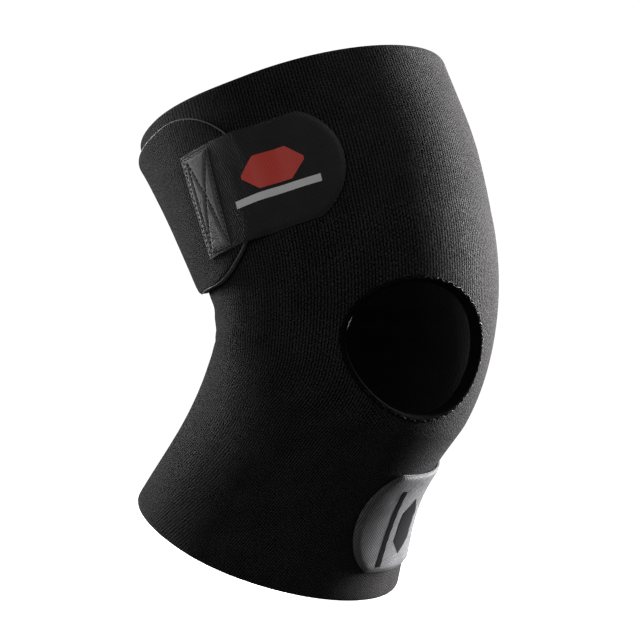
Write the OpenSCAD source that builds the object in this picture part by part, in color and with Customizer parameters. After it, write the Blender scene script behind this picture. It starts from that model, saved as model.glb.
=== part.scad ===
// Wrap-around neoprene knee brace with an open patella and two hook tabs.
// +X is the front of the leg, -Y the outer side, +Z up. The origin is the knee's bending axis.
// A place on the brace is (u, s): u is the angle round the leg in degrees, from the front
// towards the outer side, and s is the distance along the leg's centreline, up from the knee.

/* [Leg] */
// Lean of the thigh, back from upright
thigh_lean = 19; // [10:1:30]
// Lean of the calf, back from upright
calf_lean = 24; // [15:1:35]
// Bending radius of the centreline at the knee
bend_radius = 80; // [75:1:100]
// Distance from the knee to the top hem
top_reach = 108; // [104:1:125]
// How much higher the top hem lies at the sides and behind
back_rise = 3; // [0:0.5:8]
// Distance from the knee to the bottom hem
bottom_reach = 120; // [115:1:130]

/* [Girth: front, back and side half-widths] */
// At the top hem
top_size = [76, 84, 71]; // [50:1:110]
// Half way up the thigh
thigh_size = [81, 67, 73]; // [50:1:110]
// Just under the kneecap's middle
knee_size = [71, 53, 70]; // [50:1:90]
// Half way down the calf
calf_size = [58, 64, 56]; // [45:1:90]
// At the bottom hem
bottom_size = [59, 75, 67]; // [45:1:90]

/* [Sheet] */
// Thickness of the neoprene core
core_t = 3.2; // [2:0.1:5]
// Thickness of the knitted cloth on each face
cloth_t = 0.4; // [0.3:0.1:0.8]
// Gap left between parts that lie on each other
clear = 0.8; // [0.6:0.1:1.2]

/* [Patella opening] */
// Middle of the opening round the leg
hole_u = 20.5; // [16:0.5:24]
// Middle of the opening along the leg
hole_s = -7.5; // [-10:0.5:-5]
// Half-width of the opening, in degrees round the leg
hole_half_u = 31.5; // [26:0.5:36]
// Half-height of the opening along the centreline
hole_half_s = 17.5; // [13:0.5:18.5]
// Width of the binding tape on each face
binding_w = 2.5; // [2:0.5:5]
// Thickness of the binding tape
binding_t = 0.7; // [0.5:0.1:1.2]

/* [Wings] */
// Middle of the upper wing along the leg
upper_wing_s = 59.5; // [56:0.5:62]
// Half-height of the upper wing
upper_wing_h = 43; // [36:0.5:43]
// Place of the upper wing's rounded tip round the leg
upper_wing_tip = 76; // [70:1:90]
// Middle of the lower wing along the leg
lower_wing_s = -77; // [-80:0.5:-75]
// Half-height of the lower wing
lower_wing_h = 31; // [28:0.5:33]
// Place of the lower wing's rounded tip round the leg
lower_wing_tip = 288; // [285:1:292]

/* [Hook tabs] */
// Height of both tabs
tab_height = 52; // [40:1:54]
// Thickness of the tab cloth
tab_t = 1; // [0.8:0.1:1.6]
// Thickness of the hook strip under the tab
hook_t = 0.8; // [0.6:0.1:1.4]
// Length of the sewn end inside its stitched box
box_w = 19; // [15:1:25]
// Depth of the rounded free end
tab_round = 16; // [10:1:22]
// Sewn edge of the upper tab round the leg
upper_tab_root = 102; // [96:1:104]
// Free end of the upper tab round the leg
upper_tab_end = 44; // [40:1:50]
// Sewn edge of the lower tab round the leg
lower_tab_root = 263; // [258:1:266]
// Free end of the lower tab round the leg
lower_tab_end = 379; // [372:1:384]
// Middle of the upper tab along the leg
upper_tab_s = 56.5; // [54:0.5:60]
// Middle of the lower tab along the leg
lower_tab_s = -78.5; // [-80:0.5:-75]
// Middle of the upper tab's marks round the leg
upper_mark_u = 68; // [64:0.5:70]
// How far the upper tab's six-sided mark sits above the tab's middle
patch_shift = 3; // [1:0.5:8]
// How far the upper tab's bar sits above the tab's middle, negative below it
bar_shift = -8.5; // [-12:0.5:-7.5]
// Middle of the lower tab's six-sided mark round the leg
lower_patch_u = 344.5; // [338:0.5:345]
// Middle of the lower tab's bar round the leg
lower_bar_u = 358.5; // [355:0.5:362]
// How far the lower tab's marks sit above the tab's middle, negative below it
lower_mark_shift = -3; // [-5:0.5:5]

/* [Thread] */
// Diameter of the sewing thread
thread_d = 0.5; // [0.3:0.1:0.8]
// Distance from one stitch to the next
stitch_pitch = 3; // [3:0.5:6]

/* [Hidden] */

sheet_t = core_t + 2 * cloth_t;
rise = clear + sheet_t;
bend_mid = (thigh_lean - calf_lean) / 2;
bend_half = bend_radius * (thigh_lean + calf_lean) / 2 * PI / 180;

// Where the two ends of the wrap lie: the inner-side end and the outer-side end, each [calf, thigh]
inner_end = [-143, -130];
outer_end = [205, 218];
// Stretch of an end that climbs on to the raised level, in degrees, and the heights between
// which the inner-side end and the outer-side end rise to it
climb = 22;
inner_climb_s = [25, 45];
outer_climb_s = [-37, -57];
// The sleeve counts as front up to side_u on either side, and as back side_run further on. Its top
// hem starts to rise sooner.
side_u = 115;
side_run = 45;
rise_u = 70;
// Edges of the sleeve's thigh, knee and calf stretches: the heights in front and behind, and the
// angle where the first starts to turn into the second
top_hem = [top_reach, top_reach + back_rise, rise_u];
knee_top = [18, 45, side_u];
knee_bottom = [-40, -57, side_u];
bottom_hem = [-bottom_reach, -bottom_reach, side_u];
// Columns of the sleeve before, across and after the opening, and rows of each stretch
window_u = [hole_u - 48, hole_u + 48];
columns = [9, 9, 12];
across = columns[0] + columns[1] + columns[2];
knee_rows = 6;
rows = 6;

function clamp(v, lo, hi) = min(max(v, lo), hi);
function ease(t) = let (c = clamp(t, 0, 1)) c * c * (3 - 2 * c);
function mix(a, b, t) = a + (b - a) * t;
function unit(v) = v / norm(v);

// --- The leg's shape -------------------------------------------------------------------

function lean(s) = bend_mid + clamp(s, -bend_half, bend_half) / bend_radius * 180 / PI;
function centre(s) =
    let (a = lean(s), past = s - clamp(s, -bend_half, bend_half))
    [bend_radius * (cos(a) - cos(bend_mid)) - past * sin(a),
     bend_radius * (sin(a) - sin(bend_mid)) + past * cos(a)];

stations = [
    [-bottom_reach, bottom_size],
    [-0.58 * bottom_reach, calf_size],
    [-15, knee_size],
    [0.54 * top_reach, thigh_size],
    [top_reach, top_size]
];
last = len(stations) - 1;
function grade(a, b) = (stations[b][1] - stations[a][1]) / (stations[b][0] - stations[a][0]);
function slope(i) = (grade(max(i - 1, 0), max(i, 1)) + grade(min(i, last - 1), min(i + 1, last))) / 2;
function stretch_at(s) = max([for (i = [0:last - 1]) s >= stations[i][0] || i == 0 ? i : 0]);

// Half-widths of the section at s: a smooth curve through the stations
function sizes(s) =
    let (i = stretch_at(s),
         h = stations[i + 1][0] - stations[i][0],
         t = (s - stations[i][0]) / h)
    stations[i][1] * (1 + 2 * t) * (1 - t) * (1 - t)
    + slope(i) * h * t * (1 - t) * (1 - t)
    + stations[i + 1][1] * t * t * (3 - 2 * t)
    + slope(i + 1) * h * t * t * (t - 1);

// Point at (u, s), off outwards from the sleeve's outer face
function skin(u, s, off = 0) =
    let (size = sizes(s),
         depth = cos(u) >= 0 ? size[0] : size[1],
         side = size[2],
         p = [depth * cos(u), -side * sin(u)] + off * unit([cos(u) / depth, -sin(u) / side]),
         c = centre(s),
         a = lean(s))
    [c[0] + p[0] * cos(a), p[1], c[1] + p[0] * sin(a)];

// --- The wrap's outline and raised ends ------------------------------------------------

// 0 in front and 1 behind
function behind(u, start) = ease((abs((u + 540) % 360 - 180) - start) / side_run);
function between(v, range) = ease((v - range[0]) / (range[1] - range[0]));
function end_shift(s) = between(s, [knee_bottom[1], knee_top[1]]);
function inner_end_at(s) = mix(inner_end[0], inner_end[1], end_shift(s));
function outer_end_at(s) = mix(outer_end[0], outer_end[1], end_shift(s));

// Each wing grows from an end of the wrap that has climbed over the other end
function lift(u, s) =
    rise * (1 - ease((u - inner_end_at(s)) / climb)) * between(s, inner_climb_s)
    + rise * (1 - ease((outer_end_at(s) - u) / climb)) * between(s, outer_climb_s);

function column_u(j, s) =
    j <= columns[0] ? mix(inner_end_at(s), window_u[0], j / columns[0])
    : j <= columns[0] + columns[1] ? mix(window_u[0], window_u[1], (j - columns[0]) / columns[1])
    : mix(window_u[1], outer_end_at(s), (j - columns[0] - columns[1]) / columns[2]);
function edge_s(edge, j, s_guess) = mix(edge[0], edge[1], behind(column_u(j, s_guess), edge[2]));

// Points of one stretch of the sleeve, a row at a time
function stretch_points(from, to, count, off) = [
    for (i = [0:count]) for (j = [0:across])
        let (low = edge_s(from, j, from[1]),
             high = edge_s(to, j, to[1]),
             s = mix(low, high, i / count),
             u = column_u(j, s))
        skin(u, s, off + lift(u, s))
];

// --- Closed sheets ---------------------------------------------------------------------

function grid_quads(wide, up) = [
    for (i = [0:up - 1]) for (j = [0:wide - 1])
        let (a = i * (wide + 1) + j) [a, a + 1, a + wide + 2, a + wide + 1]
];
function grid_rim(wide, up) =
    let (w = wide + 1, top = up * w)
    concat(
        [for (j = [0:wide - 1]) [j, j + 1]],
        [for (i = [0:up - 1]) [i * w + wide, (i + 1) * w + wide]],
        [for (j = [wide:-1:1]) [top + j, top + j - 1]],
        [for (i = [up:-1:1]) [i * w, (i - 1) * w]]
    );

// A closed sheet between two point lists that share their quads and rim. Rim quads are split
// the same way from either side, so that two sheets that meet there share their faces.
module sheet(outer, inner, quads, rim) {
    n = len(outer);
    faces = concat(
        [for (q = quads) [q[0], q[1], q[2]]],
        [for (q = quads) [q[0], q[2], q[3]]],
        [for (q = quads) [q[2] + n, q[1] + n, q[0] + n]],
        [for (q = quads) [q[3] + n, q[2] + n, q[0] + n]],
        [for (e = rim) [e[1], e[0], (e[0] < e[1] ? e[0] : e[1]) + n]],
        [for (e = rim) [e[0] < e[1] ? e[1] : e[0], e[0] + n, e[1] + n]]
    );
    polyhedron(points = concat(outer, inner), faces = faces);
}

// One layer of a plain stretch, from low to high below the sleeve's outer face
module stretch_layer(from, to, count, low, high) {
    sheet(
        stretch_points(from, to, count, high),
        stretch_points(from, to, count, low),
        grid_quads(across, count),
        grid_rim(across, count)
    );
}

// --- The knee stretch, with the patella opening ----------------------------------------

// The opening leans and is a little egg-shaped, each [in degrees round the leg, in mm along it]
hole_slant = [3.2, 0.8];
hole_egg = [-1.6, -0.9];

// Point of the opening's edge at angle t, grown outwards by mm
function hole_at(t, grow) =
    let (size = sizes(hole_s),
         per_degree = size[0] * PI / 180,
         per_s = 1 + size[0] / bend_radius,
         half_u = hole_half_u + grow / per_degree,
         half_s = hole_half_s + grow / per_s)
    [hole_u + half_u * cos(t) + hole_slant[0] * sin(t) + hole_egg[0] * cos(2 * t),
     hole_s + half_s * sin(t) + hole_slant[1] * cos(t) + hole_egg[1] * sin(2 * t)];

// Grid places round the window, as [row, column], and the matching angle of the opening
window_loop = concat(
    [for (j = [0:columns[1] - 1]) [0, columns[0] + j]],
    [for (i = [0:knee_rows - 1]) [i, columns[0] + columns[1]]],
    [for (j = [columns[1]:-1:1]) [knee_rows, columns[0] + j]],
    [for (i = [knee_rows:-1:1]) [i, columns[0]]]
);
loop_n = len(window_loop);
function loop_angle(k) =
    let (place = window_loop[k % loop_n],
         s = mix(knee_bottom[0], knee_top[0], place[0] / knee_rows),
         u = column_u(place[1], s))
    atan2((s - hole_s) / hole_half_s, (u - hole_u) / hole_half_u);

function ring_points(grow, off) = [
    for (k = [0:loop_n - 1]) let (p = hole_at(loop_angle(k), grow)) skin(p[0], p[1], off)
];
function knee_points(off) = concat(
    stretch_points(knee_bottom, knee_top, knee_rows, off),
    ring_points(binding_w + 1, off),
    ring_points(0, off)
);

grid_n = (across + 1) * (knee_rows + 1);
function in_window(q) =
    let (j = q[0] % (across + 1)) j >= columns[0] && j < columns[0] + columns[1];
function loop_index(k) = let (p = window_loop[k % loop_n]) p[0] * (across + 1) + p[1];
function next(k) = (k + 1) % loop_n;
knee_quads = concat(
    [for (q = grid_quads(across, knee_rows)) if (!in_window(q)) q],
    [for (k = [0:loop_n - 1]) [loop_index(k), loop_index(k + 1), grid_n + next(k), grid_n + k]],
    [for (k = [0:loop_n - 1]) [grid_n + k, grid_n + next(k), grid_n + loop_n + next(k), grid_n + loop_n + k]]
);
knee_rim = concat(
    grid_rim(across, knee_rows),
    [for (k = [0:loop_n - 1]) [grid_n + loop_n + next(k), grid_n + loop_n + k]]
);

module knee_layer(low, high) {
    sheet(knee_points(high), knee_points(low), knee_quads, knee_rim);
}

// --- Wings and tabs --------------------------------------------------------------------

// Half-height at x along a strip of length l whose end is rounded over the depth r
function end_half(x, l, h, r) =
    let (radius = (h * h + r * r) / (2 * r),
         past = x - (l - radius))
    x < l - r ? h : min(h, sqrt(max(radius * radius - past * past, 4)));

// Distances along a strip: even steps, then closer ones over its rounded end
function strip_steps(l, r, plain, round) = concat(
    [for (i = [0:plain]) (l - r) * i / plain],
    [for (i = [1:round]) l - r * cos(90 * i / round)]
);

// Size of one degree round the outside of the leg at s
function degree_at(s) = (sizes(s)[0] + sizes(s)[1] + 2 * sizes(s)[2] + 4 * rise) / 4 * PI / 180;

// Points of a strip whose cross lines are [u, low s, high s]
function strip_points(lines, up, offs) = [
    for (i = [0:up]) for (k = [0:len(lines) - 1])
        skin(lines[k][0], mix(lines[k][1], lines[k][2], i / up), offs[k])
];

// One layer of a strip, from low to high above the sleeve, where lifts says how far each line is raised
module strip_layer(lines, lifts, up, low, high) {
    upward = lines[0][0] < lines[1][0];
    ordered = upward ? lines : [for (k = [len(lines) - 1:-1:0]) lines[k]];
    raised = upward ? lifts : [for (k = [len(lifts) - 1:-1:0]) lifts[k]];
    wide = len(lines) - 1;
    sheet(
        strip_points(ordered, up, [for (v = raised) v + high]),
        strip_points(ordered, up, [for (v = raised) v + low]),
        grid_quads(wide, up),
        grid_rim(wide, up)
    );
}
function zeros(lines) = [for (l = lines) 0];

wing_rows = 5;
// Gap at a wing's root, in degrees
root_gap = 0.8;
// Where the upper wing's lower edge climbs to the top of the knee, and the lower wing's upper
// edge drops to the bottom of the knee, in degrees round the leg
upper_edge_u = [125, 165];
lower_edge_u = [255, 225];

upper_degree = degree_at(upper_wing_s);
upper_root = inner_end[1] + 360 - root_gap;
upper_wing_l = (upper_root - upper_wing_tip) * upper_degree;
upper_wing_lines = [
    for (x = strip_steps(upper_wing_l, upper_wing_h, 12, 5))
        let (u = upper_root - x / upper_degree,
             half = end_half(x, upper_wing_l, upper_wing_h, upper_wing_h),
             low = upper_wing_s - half)
        [u, mix(low, knee_top[1], between(u, upper_edge_u)), upper_wing_s + half]
];

lower_degree = degree_at(lower_wing_s);
lower_root = outer_end[0] + root_gap;
lower_wing_l = (lower_wing_tip - lower_root) * lower_degree;
lower_wing_lines = [
    for (x = strip_steps(lower_wing_l, lower_wing_h, 12, 5))
        let (u = lower_root + x / lower_degree,
             half = end_half(x, lower_wing_l, lower_wing_h, lower_wing_h),
             high = lower_wing_s + half)
        [u, lower_wing_s - half, mix(high, knee_bottom[1], between(u, lower_edge_u))]
];

module upper_wing_layer(low, high) {
    strip_layer(upper_wing_lines, zeros(upper_wing_lines), wing_rows, clear + low, clear + high);
}
module lower_wing_layer(low, high) {
    strip_layer(lower_wing_lines, zeros(lower_wing_lines), wing_rows, clear + low, clear + high);
}

tab_rows = 4;
// Gap between the sewn end and the flap, in mm
fold_gap = 1;
// Height of the tab cloth over a wing, and over the sleeve, each with a small gap under it
wing_gap = 0.75;
hook_gap = 0.2;
over_wing = rise + wing_gap;
over_sleeve = clear + hook_t + hook_gap;
// Distance over which the flap comes down from the wing
step_down = 14;

// Cross lines of the flap: x runs from the stitched box to the free end
function flap_lines(root, end, mid, dir, degree) =
    let (l = abs(end - root) * degree)
    [for (x = strip_steps(l, tab_round, 11, 4))
        let (half = end_half(x, l, tab_height / 2, tab_round))
        [root + dir * x / degree, mid - half, mid + half]];
function flap_lifts(lines, tip, dir, degree) = [
    for (l = lines) mix(over_wing, over_sleeve, ease((dir * (l[0] - tip) * degree - 1) / step_down))
];
function sewn_lines(root, mid, dir, degree) = [
    for (i = [0:3])
        [root + dir * box_w * i / 3 / degree, mid - tab_height / 2, mid + tab_height / 2]
];

upper_tab_fold = upper_tab_root - (box_w + fold_gap) / upper_degree;
lower_tab_fold = lower_tab_root + (box_w + fold_gap) / lower_degree;
upper_flap = flap_lines(upper_tab_fold, upper_tab_end, upper_tab_s, -1, upper_degree);
lower_flap = flap_lines(lower_tab_fold, lower_tab_end, lower_tab_s, 1, lower_degree);
upper_flap_lift = flap_lifts(upper_flap, upper_wing_tip, -1, upper_degree);
lower_flap_lift = flap_lifts(lower_flap, lower_wing_tip, 1, lower_degree);

// The hook strip lies under the last stretch of the flap, where it is nearly down on the sleeve,
// set in from the flap's edges
hook_in = 2.5;
nearly_down = 0.4;
function hook_lines(lines, lifts, mid) = [
    for (k = [0:len(lines) - 1])
        if (lifts[k] < over_sleeve + nearly_down && k < len(lines) - 1)
            [lines[k][0], mix(lines[k][1], mid, 2 * hook_in / tab_height),
             mix(lines[k][2], mid, 2 * hook_in / tab_height)]
];

module tab_layer(lines, lifts) {
    strip_layer(lines, lifts, tab_rows, 0, tab_t);
}
module hook_layer(lines) {
    strip_layer(lines, zeros(lines), tab_rows, clear, clear + hook_t);
}

// --- Stitches and badge ----------------------------------------------------------------

// One stitch: a short length of thread between two points
module stitch(a, b) {
    along = b - a;
    translate(a)
        rotate([0, acos(along[2] / norm(along)), atan2(along[1], along[0])])
            cylinder(h = norm(along), d = thread_d, $fn = 16);
}

// A row of stitches from one (u, s) place to another
module stitch_row(from, to, off, degree) {
    run = norm([(to[0] - from[0]) * degree, to[1] - from[1]]);
    count = max(round(run / stitch_pitch), 1);
    for (i = [0:count - 1]) {
        a = mix(from, to, (i + 0.2) / count);
        b = mix(from, to, (i + 0.8) / count);
        stitch(skin(a[0], a[1], off), skin(b[0], b[1], off));
    }
}

// Height of a stitch's middle over the cloth that it holds
thread_up = thread_d / 2 + 0.4;
// Distance from the cloth's edge to the box of stitches, between the two rows at its sewn edge,
// from those rows' ends, and from the box to the cross
box_margin = 2;
double_row = 2.5;
row_short = 2;
cross_margin = 3;
// How far the rows along the tab's edges lie outside the ends of the others
row_outside = 0.8;
// The cross's sides, and the stretch round its middle that the second diagonal leaves out, each
// as shares of the way across
cross_sides = [0.12, 0.88];
cross_break = [0.4, 0.6];

// The box of stitches with a cross inside it. Its second diagonal stops short of the first.
module stitch_box(root, mid, dir, degree) {
    off = over_wing + tab_t + thread_up;
    near = root + dir * box_margin / degree;
    inner = near + dir * double_row / degree;
    far = root + dir * (box_w - box_margin) / degree;
    low = mid - tab_height / 2 + box_margin;
    high = mid + tab_height / 2 - box_margin;
    sole = low - row_outside;
    crown = high + row_outside;
    top_left = [mix(inner, far, cross_sides[0]), high - cross_margin];
    top_right = [mix(inner, far, cross_sides[1]), high - cross_margin];
    bottom_left = [top_left[0], low + cross_margin];
    bottom_right = [top_right[0], low + cross_margin];
    stitch_row([near, low], [near, high], off, degree);
    stitch_row([inner, low + row_short], [inner, high - row_short], off, degree);
    stitch_row([far, low], [far, high], off, degree);
    stitch_row([near, sole], [far, sole], off, degree);
    stitch_row([near, crown], [far, crown], off, degree);
    stitch_row(bottom_left, top_right, off, degree);
    stitch_row(top_left, mix(top_left, bottom_right, cross_break[0]), off, degree);
    stitch_row(mix(top_left, bottom_right, cross_break[1]), bottom_right, off, degree);
}

// Marks on a flap: a plain six-sided patch and a plain bar beside it, each a thin printed film
film_t = 0.3;
film_gap = 0.45;
film_steps = 8;
patch_half = [14.5, 8];
bar_half = [20, 1.8];
function turned(half) = [half[1], half[0]];

// Cross lines of a mark at (u, s). taper is the share of its half-length that narrows towards
// each end, down to blunt of its height, and peak is how much lower its sides are than its
// middle, as a share of its height.
blunt = 0.1;
function mark_lines(u, s, half, taper, peak, degree) = [
    for (i = [0:film_steps])
        let (x = 2 * i / film_steps - 1,
             ends = taper == 0 ? 1 : clamp((1 - abs(x)) / taper, blunt, 1),
             h = half[1] * ends * (1 - peak * abs(x)))
        [u + x * half[0] / degree, s - h, s + h]
];
module film(lines, tip, dir, degree) {
    strip_layer(
        lines, flap_lifts(lines, tip, dir, degree), 2,
        tab_t + film_gap, tab_t + film_gap + film_t
    );
}
module upper_mark(shift, half, taper) {
    lines = mark_lines(upper_mark_u, upper_tab_s + shift, half, taper, 0, upper_degree);
    film(lines, upper_wing_tip, -1, upper_degree);
}
module lower_mark(u, half, peak) {
    lines = mark_lines(u, lower_tab_s + lower_mark_shift, half, 0, peak, lower_degree);
    film(lines, lower_wing_tip, 1, lower_degree);
}

// --- Sub-parts -------------------------------------------------------------------------

// Places of the sheet's four faces below the sleeve's outer face
face_top = 0;
core_top = -cloth_t;
core_bottom = -cloth_t - core_t;
lining_bottom = -sheet_t;

module thigh_face_cloth() {
    color("#17171a") stretch_layer(knee_top, top_hem, rows, core_top, face_top);
}
module thigh_core() {
    color("#0c0c0e") stretch_layer(knee_top, top_hem, rows, core_bottom, core_top);
}
module thigh_lining() {
    color("#1b1b1f") stretch_layer(knee_top, top_hem, rows, lining_bottom, core_bottom);
}
module knee_face_cloth() {
    color("#17171a") knee_layer(core_top, face_top);
}
module knee_core() {
    color("#0c0c0e") knee_layer(core_bottom, core_top);
}
module knee_lining() {
    color("#1b1b1f") knee_layer(lining_bottom, core_bottom);
}
module calf_face_cloth() {
    color("#17171a") stretch_layer(bottom_hem, knee_bottom, rows, core_top, face_top);
}
module calf_core() {
    color("#0c0c0e") stretch_layer(bottom_hem, knee_bottom, rows, core_bottom, core_top);
}
module calf_lining() {
    color("#1b1b1f") stretch_layer(bottom_hem, knee_bottom, rows, lining_bottom, core_bottom);
}
module upper_wing_face_cloth() {
    color("#17171a") upper_wing_layer(sheet_t - cloth_t, sheet_t);
}
module upper_wing_core() {
    color("#0c0c0e") upper_wing_layer(cloth_t, sheet_t - cloth_t);
}
module upper_wing_lining() {
    color("#1b1b1f") upper_wing_layer(0, cloth_t);
}
module lower_wing_face_cloth() {
    color("#17171a") lower_wing_layer(sheet_t - cloth_t, sheet_t);
}
module lower_wing_core() {
    color("#0c0c0e") lower_wing_layer(cloth_t, sheet_t - cloth_t);
}
module lower_wing_lining() {
    color("#1b1b1f") lower_wing_layer(0, cloth_t);
}

// Gap between the binding tape and the sheet
binding_gap = 0.25;

// Tape folded over the opening's edge: one closed ring with a C-shaped section
module patella_binding() {
    gap = binding_gap;
    section = [
        [binding_w, gap + binding_t],
        [-gap, gap + binding_t],
        [-gap - binding_t, gap],
        [-gap - binding_t, -sheet_t - gap],
        [-gap, -sheet_t - gap - binding_t],
        [binding_w, -sheet_t - gap - binding_t],
        [binding_w, -sheet_t - gap],
        [-gap, -sheet_t - gap],
        [-gap, gap],
        [binding_w, gap]
    ];
    m = len(section);
    points = [
        for (k = [0:loop_n - 1]) for (c = section)
            let (p = hole_at(loop_angle(k), c[0])) skin(p[0], p[1], c[1])
    ];
    walls = [
        for (k = [0:loop_n - 1]) for (i = [0:m - 1])
            [k * m + i, next(k) * m + i, next(k) * m + (i + 1) % m, k * m + (i + 1) % m]
    ];
    color("#101013")
        polyhedron(
            points = points,
            faces = concat([for (w = walls) [w[0], w[1], w[2]]], [for (w = walls) [w[0], w[2], w[3]]])
        );
}

module binding_stitches() {
    off = binding_gap + binding_t + thread_up;
    count = 84;
    outer = binding_w - 0.5;
    inner = binding_w - 1.5;
    color("#2a2a2e")
        for (k = [0:count - 1]) {
            a = hole_at(360 * (k + 0.1) / count, k % 2 == 0 ? outer : inner);
            b = hole_at(360 * (k + 0.75) / count, k % 2 == 0 ? inner : outer);
            stitch(skin(a[0], a[1], off), skin(b[0], b[1], off));
        }
}

module upper_tab_sewn_end() {
    lines = sewn_lines(upper_tab_root, upper_tab_s, -1, upper_degree);
    color("#39393d") tab_layer(lines, [for (l = lines) over_wing]);
}
module upper_tab_flap() {
    color("#2d2d30") tab_layer(upper_flap, upper_flap_lift);
}
module upper_tab_hook() {
    color("#151517") hook_layer(hook_lines(upper_flap, upper_flap_lift, upper_tab_s));
}
module upper_tab_patch() {
    color("#c8302a") upper_mark(patch_shift, patch_half, 0.5);
}
module upper_tab_bar() {
    color("#e8e8e8") upper_mark(bar_shift, bar_half, 0);
}
module upper_tab_stitches() {
    color("#1d1d20") stitch_box(upper_tab_root, upper_tab_s, -1, upper_degree);
}
module lower_tab_sewn_end() {
    lines = sewn_lines(lower_tab_root, lower_tab_s, 1, lower_degree);
    color("#5a5c61") tab_layer(lines, [for (l = lines) over_wing]);
}
module lower_tab_flap() {
    color("#6a6c71") tab_layer(lower_flap, lower_flap_lift);
}
module lower_tab_hook() {
    color("#151517") hook_layer(hook_lines(lower_flap, lower_flap_lift, lower_tab_s));
}
module lower_tab_patch() {
    color("#3d3e42") lower_mark(lower_patch_u, turned(patch_half), 0.5);
}
module lower_tab_bar() {
    color("#3d3e42") lower_mark(lower_bar_u, turned(bar_half), 0);
}
module lower_tab_stitches() {
    color("#1d1d20") stitch_box(lower_tab_root, lower_tab_s, 1, lower_degree);
}

// Half-width of a wing's zigzag seam in degrees, and the gap that it keeps over both sheets
seam_half = 1.2;
seam_gap = 0.15;

// A zigzag of stitches that joins a wing's root to its end of the wrap, at u
module wing_seam(u, from, to) {
    color("#1d1d20") {
        off = rise + thread_up + seam_gap;
        count = round((to - from) / stitch_pitch);
        for (i = [0:count - 1]) {
            side = i % 2 == 0 ? seam_half : -seam_half;
            low = from + (i + 0.15) * stitch_pitch;
            high = from + (i + 0.85) * stitch_pitch;
            stitch(skin(u - side, low, off), skin(u + side, high, off));
        }
    }
}
// How far the seam's middle lies on the wrap's side of the wing's root, in degrees
seam_set = 3.3;
module upper_wing_seam() {
    wing_seam(upper_root + seam_set, knee_top[1] + 2, upper_wing_s + upper_wing_h - 2);
}
module lower_wing_seam() {
    wing_seam(lower_root - seam_set, lower_wing_s - lower_wing_h + 2, knee_bottom[1] - 2);
}

// A small folded label sewn inside, near the top hem
module care_label() {
    top_gap = 12;
    height = 28;
    under = 0.6;
    label_t = 0.4;
    lines = [
        for (u = [160, 167, 174, 181])
            [u, top_reach - top_gap - height, top_reach - top_gap]
    ];
    color("#d8d8d4")
        strip_layer(lines, zeros(lines), 2, -sheet_t - under - label_t, -sheet_t - under);
}

thigh_face_cloth();
thigh_core();
thigh_lining();
knee_face_cloth();
knee_core();
knee_lining();
calf_face_cloth();
calf_core();
calf_lining();
upper_wing_face_cloth();
upper_wing_core();
upper_wing_lining();
lower_wing_face_cloth();
lower_wing_core();
lower_wing_lining();
patella_binding();
binding_stitches();
upper_tab_sewn_end();
upper_tab_flap();
upper_tab_hook();
upper_tab_patch();
upper_tab_bar();
upper_tab_stitches();
lower_tab_sewn_end();
lower_tab_flap();
lower_tab_hook();
lower_tab_patch();
lower_tab_bar();
lower_tab_stitches();
upper_wing_seam();
lower_wing_seam();
care_label();
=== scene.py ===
import math
import random

import bmesh
import bpy
import numpy as np
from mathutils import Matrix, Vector


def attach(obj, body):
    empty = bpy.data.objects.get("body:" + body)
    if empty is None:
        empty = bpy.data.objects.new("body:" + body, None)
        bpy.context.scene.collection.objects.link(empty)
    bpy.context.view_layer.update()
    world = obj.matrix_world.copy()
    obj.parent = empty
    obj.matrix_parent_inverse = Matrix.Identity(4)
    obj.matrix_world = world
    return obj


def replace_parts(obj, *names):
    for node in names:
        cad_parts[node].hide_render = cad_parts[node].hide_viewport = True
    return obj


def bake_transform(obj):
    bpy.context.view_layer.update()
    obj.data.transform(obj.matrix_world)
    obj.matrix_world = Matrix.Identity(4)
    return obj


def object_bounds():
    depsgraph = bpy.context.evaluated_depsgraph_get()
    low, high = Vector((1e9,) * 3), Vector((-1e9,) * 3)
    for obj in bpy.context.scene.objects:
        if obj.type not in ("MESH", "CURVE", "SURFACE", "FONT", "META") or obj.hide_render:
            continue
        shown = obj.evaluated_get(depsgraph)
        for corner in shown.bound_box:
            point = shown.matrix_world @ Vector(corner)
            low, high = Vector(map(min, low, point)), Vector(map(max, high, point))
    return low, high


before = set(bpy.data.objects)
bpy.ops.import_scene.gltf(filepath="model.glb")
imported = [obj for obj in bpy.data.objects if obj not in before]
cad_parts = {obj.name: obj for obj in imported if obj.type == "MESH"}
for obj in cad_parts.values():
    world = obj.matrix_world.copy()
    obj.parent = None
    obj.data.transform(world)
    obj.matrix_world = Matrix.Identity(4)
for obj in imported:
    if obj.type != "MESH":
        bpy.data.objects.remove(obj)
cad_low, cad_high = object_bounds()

# Looks of a wrap-around knee brace. A place on it is (u, s): u is the angle round the leg in
# degrees, from the front towards the outer side, and s is the distance along the leg, up from
# the knee. Lengths are in millimetres until a mesh is made.
MM = 0.001

# --- Driving dimensions, as in the CAD model ------------------------------------------------
THIGH_LEAN, CALF_LEAN, BEND_RADIUS = 19, 24, 80
TOP, BOTTOM = 108, 120
STATION_S = np.array([-BOTTOM, -0.58 * BOTTOM, -15, 0.54 * TOP, TOP])
STATION_SIZE = np.array([[59, 75, 67], [58, 64, 56], [71, 53, 70], [81, 67, 73], [76, 84, 71]], float)
CLOTH_T, CORE_T = 0.4, 3.2
# Layers lie closer on each other than in the CAD model, which keeps them apart for its checks
CLEAR = 0.15
SHEET_T = CORE_T + 2 * CLOTH_T
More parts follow.
